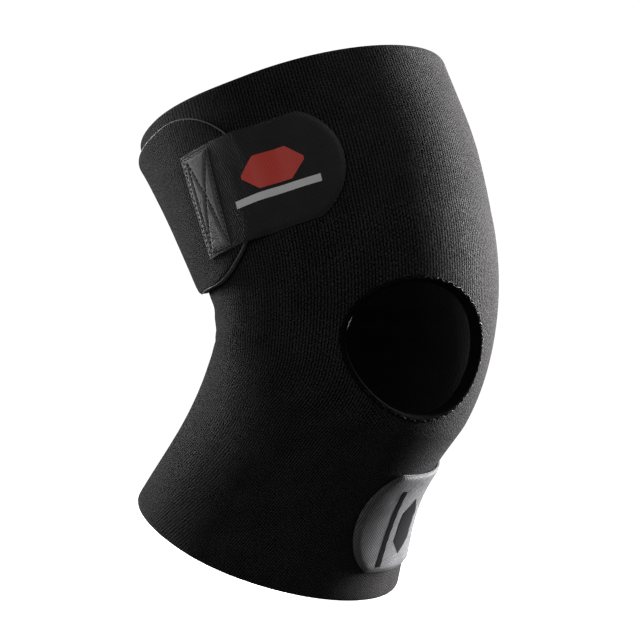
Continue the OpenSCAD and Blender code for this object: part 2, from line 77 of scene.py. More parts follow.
# Height of a wing's outer face off the sleeve
RISE = CLEAR + SHEET_T
KNEE_TOP, KNEE_BOTTOM = (18, 45), (-40, -57)
INNER_END, OUTER_END, CLIMB = (-143, -130), (205, 218), 22
HOLE_U, HOLE_S, HOLE_HALF_U, HOLE_HALF_S = 20.5, -7.5, 31.5, 17.5
HOLE_SLANT, HOLE_EGG = (3.2, 0.8), (-1.6, -0.9)
WINDOW_U = (HOLE_U - 48, HOLE_U + 48)
BINDING_W, BINDING_T, BINDING_GAP = 1.9, 0.7, 0.25
TAB_H, TAB_T, BOX_W, TAB_ROUND = 52, 1.0, 19, 16
OVER_WING, OVER_SLEEVE, STEP_DOWN = RISE + 0.2, 1.25, 14
# At the sides and behind, the top hem rises: past HEM_U over HEM_U_RUN, and above HEM_S over HEM_S_RUN
HEM_RISE, HEM_U, HEM_U_RUN, HEM_S, HEM_S_RUN = 3, 70, 45, 50, 50
# Where the wrap's ends climb over each other: above the first height, and below the second
CLIMB_ABOVE, CLIMB_BELOW, CLIMB_S_RUN = 25, -37, 20
BINDING_FLAT, BINDING_LENGTH = 10.5, 220

BEND_MID = (THIGH_LEAN - CALF_LEAN) / 2
BEND_HALF = BEND_RADIUS * math.radians((THIGH_LEAN + CALF_LEAN) / 2)
GRADE = np.diff(STATION_SIZE, axis=0) / np.diff(STATION_S)[:, None]
STATION_SLOPE = np.vstack([GRADE[:1], (GRADE[:-1] + GRADE[1:]) / 2, GRADE[-1:]])


def ease(t):
    """0 to 1 as t goes from 0 to 1, with a soft start and end."""
    c = np.clip(t, 0, 1)
    return c * c * (3 - 2 * c)


def mix(a, b, t):
    """From a to b as t goes from 0 to 1."""
    return a + (b - a) * t


def unit(vectors):
    """The vectors, each made one long."""
    return vectors / np.linalg.norm(vectors, axis=1)[:, None]


def run_of(steps):
    """Distance from the start of a line to each of its points."""
    return np.concatenate([[0], np.cumsum(steps)])


def sizes(s):
    """Front, back and side half-widths of the leg's section at s."""
    s = np.asarray(s, float)
    i = np.clip(np.searchsorted(STATION_S, s, side="right") - 1, 0, 3)
    h = (STATION_S[i + 1] - STATION_S[i])[..., None]
    t = (s - STATION_S[i])[..., None] / h
    return (
        STATION_SIZE[i] * (1 + 2 * t) * (1 - t) ** 2
        + STATION_SLOPE[i] * h * t * (1 - t) ** 2
        + STATION_SIZE[i + 1] * t * t * (3 - 2 * t)
        + STATION_SLOPE[i + 1] * h * t * t * (t - 1)
    )


def skin(u, s, off=0.0):
    """Points off mm outside the sleeve's outer face, as an array of x, y, z."""
    u, s, off = np.broadcast_arrays(*(np.asarray(v, float) for v in (u, s, off)))
    size = sizes(s)
    c, n = np.cos(np.radians(u)), np.sin(np.radians(u))
    depth, side = np.where(c >= 0, size[..., 0], size[..., 1]), size[..., 2]
    nx, ny = c / depth, -n / side
    length = np.hypot(nx, ny)
    px, py = depth * c + off * nx / length, -side * n + off * ny / length
    turned = np.clip(s, -BEND_HALF, BEND_HALF)
    lean, mid = np.radians(BEND_MID) + turned / BEND_RADIUS, np.radians(BEND_MID)
    past = s - turned
    x = BEND_RADIUS * (np.cos(lean) - np.cos(mid)) - past * np.sin(lean)
    z = BEND_RADIUS * (np.sin(lean) - np.sin(mid)) + past * np.cos(lean)
    return np.stack([x + px * np.cos(lean), py, z + px * np.sin(lean)], -1)


def degree_at(s):
    """Length of one degree round the outside of the leg at s."""
    front, back, side = sizes(s)
    return (front + back + 2 * side + 4 * RISE) / 4 * math.pi / 180


def end_shift(s):
    """Share by which the wrap's ends have moved from their angles below the knee to those above."""
    return ease((s - KNEE_BOTTOM[1]) / (KNEE_TOP[1] - KNEE_BOTTOM[1]))


def inner_end_at(s):
    return mix(*INNER_END, end_shift(s))


def outer_end_at(s):
    return mix(*OUTER_END, end_shift(s))


def hem_rise(u, s):
    """How far a place near the top hem is moved up, at the sides and behind."""
    past = abs((u + 180) % 360 - 180) - HEM_U
    return HEM_RISE * ease(past / HEM_U_RUN) * ease((s - HEM_S) / HEM_S_RUN)


def lift(u, s):
    """How far an end of the wrap has climbed over the other end."""
    inner = (1 - ease((u - inner_end_at(s)) / CLIMB)) * ease((s - CLIMB_ABOVE) / CLIMB_S_RUN)
    outer = (1 - ease((outer_end_at(s) - u) / CLIMB)) * ease((CLIMB_BELOW - s) / CLIMB_S_RUN)
    return RISE * (inner + outer)


def hole_at(angle, grow):
    """Point of the patella opening's edge, grown outwards by mm."""
    front = sizes(HOLE_S)[0]
    half_u = HOLE_HALF_U + grow / (front * math.pi / 180)
    half_s = HOLE_HALF_S + grow / (1 + front / BEND_RADIUS)
    c, n = np.cos(angle), np.sin(angle)
    return (
        HOLE_U + half_u * c + HOLE_SLANT[0] * n + HOLE_EGG[0] * np.cos(2 * angle),
        HOLE_S + half_s * n + HOLE_SLANT[1] * c + HOLE_EGG[1] * np.sin(2 * angle),
    )


# The creases fade in above the low height and out above the high one
CREASE_LOW, CREASE_LOW_RUN, CREASE_HIGH, CREASE_HIGH_RUN = -46, 10, 10, 12
# Soft creases of the bent knee: middle (u, s), half-length in degrees, half-height, slant, height
CREASES = [
    (92, -20, 24, 4.5, -0.10, -0.9),
    (98, -11, 20, 4.0, -0.06, 0.6),
    (105, -31, 26, 5.0, -0.14, -0.8),
    (118, -2, 22, 4.5, 0.06, -0.8),
    (160, -12, 34, 5.0, 0.03, -1.5),
    (168, -3, 34, 4.0, -0.02, 1.3),
    (162, 7, 30, 4.5, 0.05, -1.3),
    (158, -24, 30, 4.5, -0.05, -1.2),
    (170, -17, 24, 3.5, 0.04, 0.9),
    (246, -10, 30, 5.0, -0.04, -1.3),
    (250, -1, 28, 4.0, 0.03, 1.0),
    (256, -21, 30, 4.5, 0.06, -1.1),
    (262, 8, 26, 4.5, -0.05, -0.8),
]


def relief(u, s):
    """Height of the creases at (u, s), which is the same for every layer of the sleeve."""
    total = np.zeros(np.broadcast(u, s).shape)
    for cu, cs, half_u, half_s, slant, height in CREASES:
        du = (np.asarray(u) - cu + 180) % 360 - 180
        ds = s - cs - slant * du
        total = total + height * np.exp(-((du / half_u) ** 2) - (ds / half_s) ** 2)
    fade = ease((s - CREASE_LOW) / CREASE_LOW_RUN) * (1 - ease((s - CREASE_HIGH) / CREASE_HIGH_RUN))
    return total * fade


# Arc length round the leg just above the knee, so that the knitted ribs keep one pitch
ARC_U, ARC_S = np.linspace(-180, 260, 881), 20.0
ARC = run_of(np.linalg.norm(np.diff(skin(ARC_U, ARC_S), axis=0), axis=1))
# Below the first height the ribs slant by RIB_SLANT, which comes in over the run
RIB_SLANT_S, RIB_SLANT_RUN, RIB_SLANT = -10, 30, 0.4


def cloth_uv(u, s):
    """Place on the flat cloth in metres. Below the knee the knitted ribs slant towards the front."""
    below = np.minimum(s - RIB_SLANT_S, 0)
    along = np.interp(u, ARC_U, ARC) + RIB_SLANT * below * ease(-below / RIB_SLANT_RUN)
    return np.stack([along, s], -1) * MM


# --- Materials ------------------------------------------------------------------------------
class Tree:
    """Builds one node material with short calls. A value is a number, a colour or a socket."""

    def __init__(self, name, **shader):
        self.material = bpy.data.materials.new(name)
        self.material.use_nodes = True
        self.nodes, self.links = self.material.node_tree.nodes, self.material.node_tree.links
        self.shader = self.nodes["Principled BSDF"]
        for key, value in shader.items():
            self.set(self.shader.inputs[key.replace("_", " ")], value)

    def set(self, socket, value):
        if isinstance(value, bpy.types.NodeSocket):
            self.links.new(value, socket)
        elif hasattr(socket.default_value, "__len__") and not hasattr(value, "__len__"):
            socket.default_value = [value] * 3 + [1] * (len(socket.default_value) - 3)
        elif hasattr(value, "__len__") and len(socket.default_value) == 4 and len(value) == 3:
            socket.default_value = (*value, 1)
        else:
            socket.default_value = value

    def node(self, kind, inputs=(), **settings):
        made = self.nodes.new("ShaderNode" + kind)
        for key, value in settings.items():
            setattr(made, key, value)
        for key, value in dict(inputs).items():
            self.set(made.inputs[key], value)
        return made

    def math(self, operation, a, b=0.0, c=0.0):
        return self.node("Math", {0: a, 1: b, 2: c}, operation=operation).outputs[0]

    def uv(self):
        """The cloth's own coordinates in metres, as (u, v) sockets."""
        made = self.node("UVMap", uv_map="cloth")
        parts = self.node("SeparateXYZ", {0: made.outputs[0]})
        return made.outputs[0], parts.outputs[0], parts.outputs[1]

    def place(self):
        return self.node("TexCoord").outputs["Object"]

    def noise(self, vector, size, detail=2.0, rough=0.5):
        """Noise with features of about size metres."""
        inputs = {"Vector": vector, "Scale": 1 / size, "Detail": detail, "Roughness": rough}
        return self.node("TexNoise", inputs).outputs[0]

    def wave(self, value, pitch, sharp=1.0):
        """0 to 1 and back once for each pitch metres."""
        turned = self.math("MULTIPLY", value, math.pi / pitch)
        bump = self.math("ABSOLUTE", self.math("SINE", turned))
        return self.math("POWER", bump, sharp) if sharp != 1.0 else bump

    def ramp(self, value, low, high, start=0.0, stop=1.0):
        """Colour or number from low to high as value goes from start to stop."""
        made = self.node("Mix", {0: self.number(value, 0.0, 1.0, start, stop)}, data_type="RGBA")
        self.set(made.inputs[6], low)
        self.set(made.inputs[7], high)
        return made.outputs[2]

    def number(self, value, low, high, start=0.0, stop=1.0):
        return self.node("MapRange", {0: value, 1: start, 2: stop, 3: low, 4: high}).outputs[0]

    def bump(self, height, distance, strength=1.0, under=None):
        inputs = {"Height": height, "Distance": distance, "Strength": strength}
        if under is not None:
            inputs["Normal"] = under
        return self.node("Bump", inputs).outputs[0]

    def finish(self, colour=None, rough=None, normal=None):
        for key, value in (("Base Color", colour), ("Roughness", rough), ("Normal", normal)):
            if value is not None:
                self.set(self.shader.inputs[key], value)
        return self.material


WALE, COURSE = 1.6 * MM, 1.1 * MM


def knit_material(name, dark, light, wale, course, speckle):
    """Knitted nylon: ribs along the leg made of small loops, with a fine fuzzy speckle."""
    t = Tree(
        name, Sheen_Weight=0.02, Sheen_Roughness=0.5, Sheen_Tint=(0.9, 0.92, 1.0), Specular_IOR_Level=0.06
    )
    vector, u, v = t.uv()
    drift = t.math("MULTIPLY_ADD", t.noise(vector, 9 * MM), 0.5 * MM, u)
    rib = t.wave(drift, wale, 1.2)
    row = t.math("FLOOR", t.math("DIVIDE", drift, wale))
    shifted = t.math("MULTIPLY_ADD", t.math("FLOORED_MODULO", row, 2.0), course / 2, v)
    loops = t.wave(shifted, course, 0.8)
    stitch = t.math("MULTIPLY", rib, t.math("MULTIPLY_ADD", loops, 0.45, 0.55))
    grain = t.number(t.noise(vector, 0.64 * MM, 1.0, 0.5), 0, 1, 0.42, 0.60)
    patch = t.noise(vector, 14 * MM, 2.0)
    mixed = t.math("MULTIPLY_ADD", grain, speckle, t.math("MULTIPLY", stitch, 1 - speckle))
    tone = t.math("MULTIPLY", mixed, t.number(patch, 0.88, 1.1, 0.3, 0.7))
    colour = t.ramp(tone, dark, light, 0.26, 0.92)
    normal = t.bump(grain, 0.3 * MM, 1.0, t.bump(stitch, 0.4 * MM, 1.0))
    return t.finish(colour, t.number(grain, 0.75, 0.95, 0.3, 0.7), normal)


def foam_material(name, dark, light):
    """Cut edge of closed-cell neoprene: fine pores in a soft matt rubber."""
    t = Tree(name, Specular_IOR_Level=0.3)
    place = t.place()
    cells = t.node("TexVoronoi", {"Vector": place, "Scale": 1 / (0.45 * MM)}, feature="F1").outputs[0]
    grain = t.noise(place, 1.6 * MM, 3.0, 0.6)
    colour = t.ramp(t.math("MULTIPLY", cells, grain), dark, light, 0.08, 0.4)
    return t.finish(colour, t.number(grain, 0.7, 0.92), t.bump(cells, 0.15 * MM, 0.8))


def plush_material():
    """Brushed loop lining next to the skin."""
    t = Tree("plush_lining", Sheen_Weight=0.3, Sheen_Roughness=0.55, Specular_IOR_Level=0.15)
    vector = t.uv()[0]
    loops = t.node("TexVoronoi", {"Vector": vector, "Scale": 1 / (0.9 * MM), "Randomness": 0.8}).outputs[0]
    pile = t.noise(vector, 0.5 * MM, 4.0, 0.7)
    nap = t.noise(vector, 20 * MM, 3.0)
    tone = t.math("MULTIPLY", t.math("MULTIPLY_ADD", pile, 0.7, loops), t.number(nap, 0.7, 1.25, 0.3, 0.7))
    colour = t.ramp(tone, (0.004, 0.004, 0.005), (0.020, 0.0205, 0.023), 0.2, 1.1)
    return t.finish(colour, 0.92, t.bump(pile, 0.3 * MM, 0.8, t.bump(loops, 0.3 * MM, 0.8)))


# Cosine and sine of the slant of the twill's ribs
TWILL_COS, TWILL_SIN = 0.98, 0.21


def across_twill(t, u, v):
    """Distance across the slanting ribs of the twill."""
    return t.math("MULTIPLY_ADD", v, TWILL_SIN, t.math("MULTIPLY", u, TWILL_COS))


def twill_material(name, dark, light, pitch, sheen=0.1, depth=0.2 * MM):
    """Woven hook-tape cloth with slanting ribs, pitch metres apart and depth metres deep."""
    t = Tree(name, Sheen_Weight=sheen, Sheen_Roughness=0.35, Specular_IOR_Level=0.4)
    vector, u, v = t.uv()
    slant = across_twill(t, u, v)
    wobble = t.math("MULTIPLY_ADD", t.noise(vector, 3 * MM), 0.22 * MM, slant)
    rib = t.wave(wobble, pitch, 0.8)
    along = t.math("SUBTRACT", t.math("MULTIPLY", v, TWILL_COS), t.math("MULTIPLY", u, TWILL_SIN))
    weft = t.wave(along, 0.62 * MM)
    grain = t.noise(vector, 0.4 * MM, 3.0, 0.7)
    height = t.math("MULTIPLY", rib, t.math("MULTIPLY_ADD", weft, 0.35, 0.65))
    tone = t.math("MULTIPLY_ADD", grain, 0.45, t.math("MULTIPLY", height, 0.6))
    worn = t.number(t.noise(vector, 11 * MM, 3.0), 0.85, 1.15, 0.3, 0.7)
    colour = t.ramp(t.math("MULTIPLY", tone, worn), dark, light, 0.3, 0.8)
    normal = t.bump(grain, depth / 2, 0.7, t.bump(height, depth, 0.9))
    return t.finish(colour, t.number(grain, 0.55, 0.8, 0.3, 0.7), normal)


def tape_material():
    """Narrow woven binding tape with fine cross ribs."""
    t = Tree("binding_tape", Specular_IOR_Level=0.02)
    vector, u = t.uv()[:2]
    rib = t.wave(u, 0.55 * MM)
    grain = t.noise(vector, 0.35 * MM, 3.0, 0.6)
    tone = t.math("MULTIPLY_ADD", grain, 0.5, t.math("MULTIPLY", rib, 0.5))
    colour = t.ramp(tone, (0.0015, 0.0015, 0.002), (0.008, 0.0082, 0.0096), 0.2, 0.8)
    normal = t.bump(grain, 0.06 * MM, 0.6, t.bump(rib, 0.10 * MM, 0.8))
    return t.finish(colour, t.number(grain, 0.8, 0.95, 0.3, 0.7), normal)


def thread_material(name, dark, light):
    """Twisted polyester thread. A light one also paints a glint along the wings' cut edges."""
    t = Tree(name, Specular_IOR_Level=0.2)
    vector, u, v = t.uv()
    twist = t.wave(t.math("ADD", u, v), 0.5 * MM)
    grain = t.noise(vector, 0.3 * MM, 2.0)
    return t.finish(t.ramp(twist, dark, light), t.number(grain, 0.4, 0.65), t.bump(twist, 0.08 * MM, 0.8))


def hook_material():
    """Moulded nylon of the hook strip."""
    t = Tree("hook_nylon", Specular_IOR_Level=0.5)
    place = t.place()
    grain = t.noise(place, 0.8 * MM, 2.0)
    colour = t.ramp(grain, (0.007, 0.007, 0.008), (0.022, 0.022, 0.025), 0.3, 0.7)
    return t.finish(colour, t.number(grain, 0.35, 0.55, 0.3, 0.7), t.bump(grain, 0.05 * MM, 0.5))


def film_material(name, colour, worn, gloss=0.45):
    """Printed film over woven cloth: the ribs show through, and the print thins a little on them."""
    t = Tree(name, Specular_IOR_Level=gloss)
    vector, u, v = t.uv()
    rib = t.wave(across_twill(t, u, v), 1.25 * MM, 0.8)
    grain = t.noise(vector, 0.35 * MM, 3.0, 0.6)
    tone = t.math("MULTIPLY_ADD", grain, 0.6, t.math("MULTIPLY", rib, 0.4))
    normal = t.bump(grain, 0.04 * MM, 0.5, t.bump(rib, 0.08 * MM, 0.6))
    return t.finish(t.ramp(tone, worn, colour, 0.18, 0.55), t.number(grain, 0.4, 0.6, 0.3, 0.7), normal)


def label_material():
    """Satin-woven label."""
    t = Tree("label_satin", Sheen_Weight=0.2, Specular_IOR_Level=0.5)
    vector, u, v = t.uv()
    weave = t.math("MULTIPLY", t.wave(u, 0.3 * MM), t.wave(v, 0.3 * MM))
    stain = t.noise(vector, 6 * MM, 3.0)
    colour = t.ramp(stain, (0.62, 0.62, 0.58), (0.78, 0.78, 0.75), 0.3, 0.7)
    return t.finish(colour, t.number(weave, 0.35, 0.5), t.bump(weave, 0.05 * MM, 0.6))


FACE = knit_material("knitted_face", (0.0008, 0.0007, 0.0007), (0.076, 0.070, 0.072), WALE, COURSE, 0.44)
CORE = foam_material("neoprene_core", (0.018, 0.018, 0.020), (0.085, 0.086, 0.092))
# Lighter than the sleeve's core: a painted highlight on the wings' cut edges
PAINTED_HIGHLIGHT_WING_CORE = foam_material("wing_core", (0.06, 0.06, 0.064), (0.24, 0.242, 0.25))
LINING = plush_material()
UPPER_TWILL = twill_material("upper_tab_twill", (0.005, 0.005, 0.0055), (0.028, 0.0275, 0.029), 1.05 * MM)
# Painted light: the lower tab's cloth is like the upper tab's dark cloth, and its lighter colour stands in
# for the key lamp's sheen
LOWER_TWILL_PAINTED_LIGHT = twill_material(
    "lower_tab_twill_painted_light", (0.016, 0.016, 0.0175), (0.18, 0.178, 0.186), 1.2 * MM, sheen=0.0, depth=0.4 * MM
)
# The sewn box is lighter than the tab: partly its own lighter cloth, partly a painted sheen
BOX_TWILL_AND_SHEEN = twill_material("sewn_box_twill_and_sheen", (0.055, 0.054, 0.056), (0.20, 0.197, 0.203), 0.8 * MM)
CUT_EDGE = twill_material("tab_cut_edge", (0.045, 0.045, 0.048), (0.15, 0.15, 0.156), 0.5 * MM)
BINDING = tape_material()
THREAD = thread_material("dark_thread", (0.0012, 0.0012, 0.0015), (0.006, 0.006, 0.007))
BOX_THREAD = thread_material("black_thread", (0.0004, 0.0004, 0.0005), (0.002, 0.002, 0.0025))
HOOK = hook_material()
# A light thread along the wings' cut edges: a painted glint
EDGE_GLINT_THREAD = thread_material("cut_fibres", (0.10, 0.10, 0.105), (0.34, 0.34, 0.35))
RED_FILM = film_material("red_print", (0.92, 0.075, 0.05), (0.78, 0.05, 0.035))
WHITE_FILM = film_material("white_print", (0.95, 0.95, 0.94), (0.8, 0.8, 0.8))
DARK_FILM = film_material("dark_print", (0.008, 0.008, 0.0095), (0.003, 0.003, 0.0035), 0.05)
LABEL = label_material()


# --- Meshes ---------------------------------------------------------------------------------
def added(name, data):
    """An object with the data, linked to the scene."""
    made = bpy.data.objects.new(name, data)
    bpy.context.scene.collection.objects.link(made)
    return made


def piece(name, points, faces, uv, materials, face_material=None, angle=50):
    """A mesh object from points in mm, with its cloth coordinates and smooth faces."""
    mesh = bpy.data.meshes.new(name)
    mesh.from_pydata((np.asarray(points) * MM).tolist(), [], faces)
    for m in materials:
        mesh.materials.append(m)
    if face_material is not None:
        mesh.polygons.foreach_set("material_index", face_material)
    layer = mesh.uv_layers.new(name="cloth")
    corner = np.zeros(len(mesh.loops), int)
    mesh.loops.foreach_get("vertex_index", corner)
    layer.data.foreach_set("uv", np.asarray(uv, np.float32)[corner].ravel())
    built = bmesh.new()
    built.from_mesh(mesh)
    bmesh.ops.recalc_face_normals(built, faces=built.faces)
    built.to_mesh(mesh)
    built.free()
    mesh.shade_smooth()
    mesh.set_sharp_from_angle(angle=math.radians(angle))
    return added(name, mesh)


def rim_of(faces):
    """Directed edges that only one face uses."""
    edges = {edge: None for f in faces for edge in zip(f, f[1:] + f[:1])}
    return [(a, b) for a, b in edges if (b, a) not in edges]


def closed(name, places, faces, high, low, uv, materials):
    """A closed sheet over the places (u, s), from low to high off the sleeve.
    Its cut rim takes the last material."""
    n = len(places)
    points = np.vstack([skin(*places.T, high), skin(*places.T, low)])
    under = [tuple(i + n for i in reversed(f)) for f in faces]
    rim = [(b, a, a + n, b + n) for a, b in rim_of(faces)]
    kinds = [0] * (2 * len(faces)) + [len(materials) - 1] * len(rim)
    return piece(name, points, [*faces, *under, *rim], np.vstack([uv, uv]), materials, kinds)


EDGE_STEPS = [0, 0.2, 0.5, 0.9, 1.4, 2.0]


def softened(edge, low_end=0.62):
    """Share of the sheet's thickness that is left at a distance from its cut edge."""
    t = np.clip(edge / EDGE_STEPS[-1], 0, 1)
    return low_end + (1 - low_end) * np.sqrt(1 - (1 - t) ** 2)


def laminate(prefix, places, faces, base, edge, uv, names, core=CORE):
    """The three layers of neoprene sheet: knitted face, core and lining. base is the height of the sheet's
    outer face off the sleeve, and the layers thin together towards a cut edge."""
    middle, half = base - SHEET_T / 2, softened(edge) / 2
    inside = SHEET_T - 2 * CLOTH_T
    stack = (
        ("face_cloth", SHEET_T, inside, FACE),
        ("core", inside, -inside, core),
        ("lining", -inside, -SHEET_T, LINING),
    )
    made = []
    for layer, high, low, material in stack:
        tops, bottoms = middle + half * high, middle + half * low
        made.append(closed(f"{prefix}_{layer}", places, faces, tops, bottoms, uv, [material]))
        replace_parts(made[-1], *[n + "_" + layer for n in names])
    return made


def grid_faces(rows, columns, skip=lambda i, j: False):
    """Four-sided faces of a grid of places, row by row, except where skip(row, column) holds."""
    w = columns + 1
    return [
        (i * w + j, i * w + j + 1, (i + 1) * w + j + 1, (i + 1) * w + j)
        for i in range(rows) for j in range(columns) if not skip(i, j)
    ]


# --- Sleeve ---------------------------------------------------------------------------------
# Rows of places below, across and above the knee, columns before, across and past the window, and
# rings between the window and the patella opening
ROWS_BELOW, ROWS_KNEE, ROWS_ABOVE = 27, 23, 31
COLUMNS_BEFORE, COLUMNS_WINDOW, COLUMNS_PAST = 42, 37, 54
RINGS = 9


def sleeve_grid():
    """Places, faces and distance to the nearest cut edge of the wrap, with its patella opening."""
    fine = np.array(EDGE_STEPS)
    heights = np.concatenate([
        -BOTTOM + fine[:-1],
        np.linspace(-BOTTOM + fine[-1], KNEE_BOTTOM[0], ROWS_BELOW),
        np.linspace(KNEE_BOTTOM[0], KNEE_TOP[0], ROWS_KNEE)[1:],
        np.linspace(KNEE_TOP[0], TOP - fine[-1], ROWS_ABOVE)[1:],
        TOP - fine[-2::-1],
    ])
    first_row = len(fine) - 1 + ROWS_BELOW - 1
    last_row = first_row + ROWS_KNEE - 1
    steps = fine / degree_at(0.0)
    places = []
    for s in heights:
        start, stop = inner_end_at(s), outer_end_at(s)
        row = np.concatenate([
            start + steps[:-1],
            np.linspace(start + steps[-1], WINDOW_U[0], COLUMNS_BEFORE),
            np.linspace(WINDOW_U[0], WINDOW_U[1], COLUMNS_WINDOW)[1:],
            np.linspace(WINDOW_U[1], stop - steps[-1], COLUMNS_PAST)[1:],
            stop - steps[-2::-1],
        ])
        places.append(np.stack([row, np.full_like(row, s)], -1))
    first_column = len(fine) - 1 + COLUMNS_BEFORE - 1
    last_column = first_column + COLUMNS_WINDOW - 1
    columns = len(places[0]) - 1
    places = np.vstack(places)

    def inside(i, j):
        return first_row <= i < last_row and first_column <= j < last_column

    faces = grid_faces(len(heights) - 1, columns, inside)
    w = columns + 1
    loop = [first_row * w + j for j in range(first_column, last_column)]
    loop += [i * w + last_column for i in range(first_row, last_row)]
    loop += [last_row * w + j for j in range(last_column, first_column, -1)]
    loop += [i * w + first_column for i in range(last_row, first_row, -1)]
    frame_places = places[loop]
    angle = np.arctan2(
        (frame_places[:, 1] - HOLE_S) / HOLE_HALF_S, (frame_places[:, 0] - HOLE_U) / HOLE_HALF_U
    )
    edge_places = np.stack(hole_at(angle, 0), -1)
    before = loop
    for r in range(1, RINGS + 1):
        start = len(places)
        places = np.vstack([places, mix(frame_places, edge_places, r / RINGS)])
        ring = list(range(start, start + len(loop)))
        faces += [
            (before[k], before[k - len(loop) + 1], ring[k - len(loop) + 1], ring[k]) for k in range(len(loop))
        ]
        before = ring
    u, s = places.T
    per_degree = degree_at(0.0)
    edge = np.minimum.reduce([
        s + BOTTOM, TOP - s, (u - inner_end_at(s)) * per_degree, (outer_end_at(s) - u) * per_degree
    ])
    places[:, 1] += hem_rise(u, s)
    return places, faces, edge


def knee_blend(made):
    """Bakes a piece's transform into its mesh."""
    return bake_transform(made)


places, faces, edge = sleeve_grid()
base = lift(*places.T) + relief(*places.T)
sleeve = laminate("sleeve", places, faces, base, edge, cloth_uv(*places.T), ("thigh", "knee", "calf"))
for layer, under in zip(sleeve, ("sleeve_core", "sleeve_lining", "sleeve_core")):
    knee_blend(layer)


# --- Binding of the patella opening ---------------------------------------------------------
def ring_piece(name, section, count, materials):
    """A closed ring round the opening. section lists (distance out from the edge, height)."""
    angles = np.arange(count) * 2 * math.pi / count
    outline = np.array(section)
    lengths = run_of(np.hypot(*np.diff(outline, axis=0).T))
    points, uv = [], []
    for k, angle in enumerate(angles):
        u, s = hole_at(angle, outline[:, 0])
        points.append(skin(u, s, outline[:, 1] + relief(u, s)))
        uv.append(np.stack([np.full(len(outline), k * BINDING_LENGTH / count), lengths], -1) * MM)
    m = len(outline)
    faces = [
        (k * m + i, ((k + 1) % count) * m + i, ((k + 1) % count) * m + (i + 1) % m, k * m + (i + 1) % m)
        for k in range(count) for i in range(m)
    ]
    return piece(name, np.vstack(points), faces, np.vstack(uv), materials, angle=60)


def binding_section():
    """Tape folded round the sheet's edge, with rolled edges and a soft round nose."""
    top, bottom = BINDING_GAP, -SHEET_T - BINDING_GAP
    outer = [
        (BINDING_W + 0.1, top - 0.05), (BINDING_W + 0.15, top + 0.35),
        (BINDING_W - 0.1, top + BINDING_T - 0.1),
        (BINDING_W - 0.45, top + BINDING_T), (BINDING_W - 0.85, top + BINDING_T - 0.16),
        (BINDING_W - 1.3, top + BINDING_T - 0.03), (0.6, top + BINDING_T + 0.04),
        (0.15, top + BINDING_T - 0.05),
    ]
    half, middle = (top - bottom) / 2 + BINDING_T - 0.1, (top + bottom) / 2
    nose = [
        (-(BINDING_GAP + BINDING_T) * math.cos(math.radians(a)), middle + half * math.sin(math.radians(a)))
        for a in (66, 45, 22, 0, -22, -45, -66)
    ]
    below = [(x, 2 * middle - z) for x, z in reversed(outer)]
    inner = [(-BINDING_GAP + 0.2, bottom + 0.1), (-BINDING_GAP + 0.2, top - 0.1)]
    return [*outer, *nose, *below, *inner]


binding = ring_piece("patella_binding", binding_section(), 200, [BINDING])
knee_blend(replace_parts(binding, "patella_binding"))


# --- Thread ---------------------------------------------------------------------------------
SIDES = 6


def threads(name, runs, radius, material):
    """Short tapered lengths of thread, one for each run of points."""
    points, faces, uv = [], [], []
    for run in runs:
        run = np.asarray(run)
        tangent = unit(np.gradient(run, axis=0))
        side = unit(np.cross(tangent, [0.3, 0.5, 0.81]))
        other = np.cross(tangent, side)
        first, m = len(points), len(run)
        along = np.linspace(-1, 1, m)
        taper = radius * np.sqrt(np.clip(1.04 - along ** 4, 0.05, 1))
        for i in range(m):
            for k in range(SIDES):
                a = 2 * math.pi * k / SIDES
                points.append(run[i] + taper[i] * (side[i] * math.cos(a) + other[i] * math.sin(a)))
                uv.append((i * 0.5 * MM, k * 0.26 * MM))
        for i in range(m - 1):
            for k in range(SIDES):
                a, b = first + i * SIDES + k, first + i * SIDES + (k + 1) % SIDES
                faces.append((a, b, b + SIDES, a + SIDES))
        faces.append(tuple(range(first + SIDES - 1, first - 1, -1)))
        faces.append(tuple(range(first + (m - 1) * SIDES, first + m * SIDES)))
    return piece(name, points, faces, uv, [material], angle=80)


def stitch(a, b, height, arch=0.22, dip=0.18):
    """One stitch from place a to place b, dipping into the cloth at its ends."""
    t = np.linspace(0, 1, 5)
    u, s = mix(a[0], b[0], t), mix(a[1], b[1], t)
    return skin(u, s, height - dip + (arch + dip) * np.sin(math.pi * t))


def stitch_path(path, height, degree, pitch, fill=0.74):
    """Stitches along a line of places. fill is the share of the pitch that a stitch covers."""
    path = np.asarray(path, float)
    length = run_of(np.hypot(np.diff(path[:, 0]) * degree, np.diff(path[:, 1])))
    count = max(round(length[-1] / pitch), 1)
    runs = []
    for i in range(count):
        at = [length[-1] * (i + 0.5 + side * fill / 2) / count for side in (-1, 1)]
        ends = [(np.interp(x, length, path[:, 0]), np.interp(x, length, path[:, 1])) for x in at]
        runs.append(stitch(*ends, height))
    return runs


# Stitches round the binding, and how far out from the edge of the opening their ends are
ZIGZAG = 84
ZIGZAG_OUT, ZIGZAG_IN = BINDING_W - 0.2, BINDING_W - 1.5
zigzag = []
for k in range(ZIGZAG):
    out, back = (ZIGZAG_OUT, ZIGZAG_IN) if k % 2 else (ZIGZAG_IN, ZIGZAG_OUT)
    a = hole_at(2 * math.pi * k / ZIGZAG, out)
    b = hole_at(2 * math.pi * (k + 0.94) / ZIGZAG, back)
    zigzag.append(stitch(a, b, BINDING_GAP + BINDING_T, arch=0.2, dip=0.12))
binding_stitches = threads("binding_stitches", zigzag, 0.2, THREAD)
knee_blend(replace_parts(binding_stitches, "binding_stitches"))


